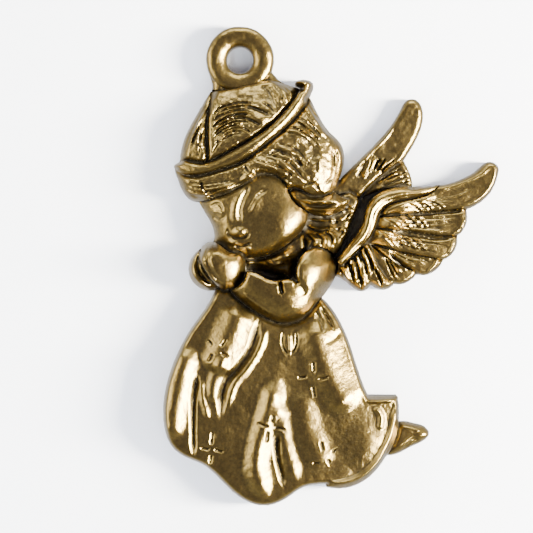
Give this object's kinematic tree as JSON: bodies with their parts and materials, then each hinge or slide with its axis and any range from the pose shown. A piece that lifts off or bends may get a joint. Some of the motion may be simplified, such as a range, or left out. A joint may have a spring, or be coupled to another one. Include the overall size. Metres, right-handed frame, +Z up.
{
  "type": "angel charm pendant",
  "caption": "Flat-backed cast metal praying angel charm with halo, wings and bell skirt, hung from a round eye at its top.",
  "frame": {"origin": "centre of the hanging eye's hole, halfway through the eye's thickness", "axes": "+Z up, from the hem to the eye; +Y out of the flat back; +X from the hands to the wings"},
  "size_m": [0.0251, 0.0047, 0.0358],
  "materials": {
    "antique_gold": "polished on the high spots, dark patina in the hollows"
  },
  "bodies": {
    "root": {"suspension_eye": "antique_gold", "halo": "antique_gold", "crown_hair": "antique_gold", "side_lock": "antique_gold", "fringe": "antique_gold", "back_hair": "antique_gold", "nape_curl": "antique_gold", "near_hand": "antique_gold", "far_hand": "antique_gold", "face": "antique_gold", "near_arm": "antique_gold", "collar": "antique_gold", "turned_hem": "antique_gold", "skirt": "antique_gold", "foot": "antique_gold", "wing_ridge": "antique_gold", "leading_feather": "antique_gold", "second_feather": "antique_gold", "third_feather": "antique_gold", "fourth_feather": "antique_gold", "fifth_feather": "antique_gold", "wing_down": "antique_gold", "shoulder_feathers": "antique_gold", "far_wing": "antique_gold", "far_feather": "antique_gold", "wing_web": "antique_gold"}
  },
  "joints": []
}
